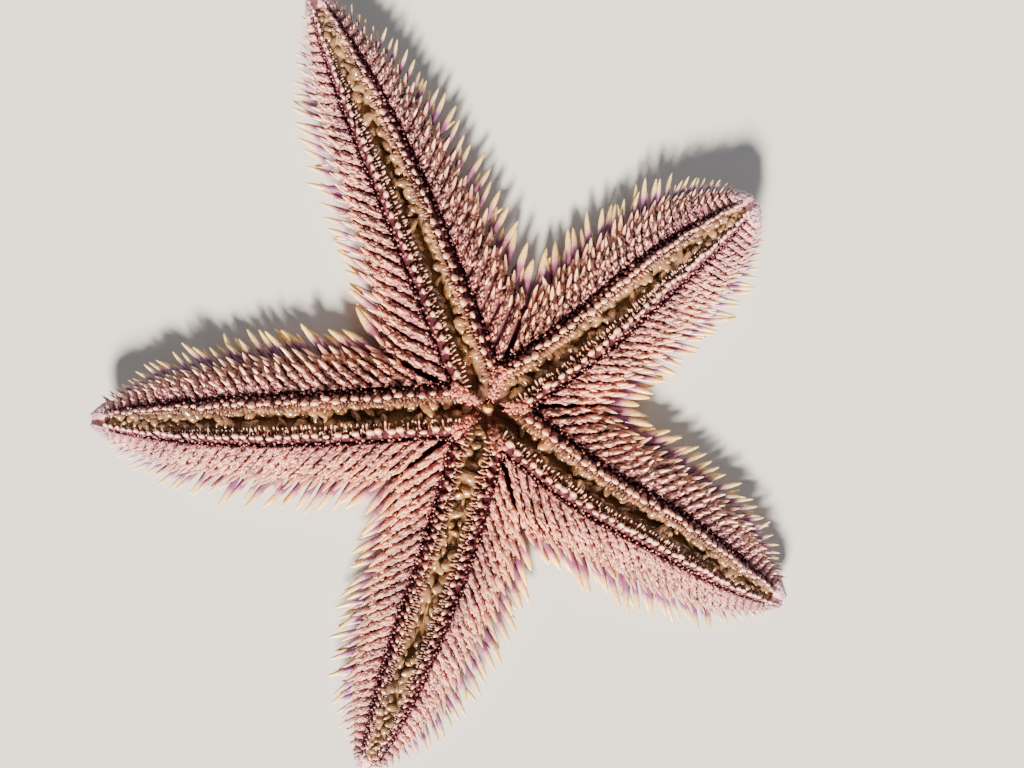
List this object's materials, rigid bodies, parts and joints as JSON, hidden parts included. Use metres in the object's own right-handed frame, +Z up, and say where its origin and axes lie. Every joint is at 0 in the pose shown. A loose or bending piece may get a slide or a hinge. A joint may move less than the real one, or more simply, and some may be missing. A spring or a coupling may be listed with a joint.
{
  "type": "spiny sand star",
  "caption": "Sand star lying on its back, mouth side up: flat spiny arms with plated margins, tube-foot grooves and pointed mouth plates.",
  "frame": {"origin": "on the floor under the mouth, on the flat of the star's back", "axes": "+Z up out of the mouth, +X and +Y to the right and away from someone who looks down on the star"},
  "size_m": [0.1411, 0.1574, 0.0119],
  "materials": {
    "body": "satin",
    "mouth_plates": "satin"
  },
  "bodies": {
    "root": {"disc": "body", "arm_1": "body", "arm_2": "body", "arm_3": "body", "arm_4": "body", "arm_5": "body", "jaw_1": "mouth_plates", "jaw_2": "mouth_plates", "jaw_3": "mouth_plates", "jaw_4": "mouth_plates", "jaw_5": "mouth_plates", "madreporite": "body"}
  },
  "joints": []
}
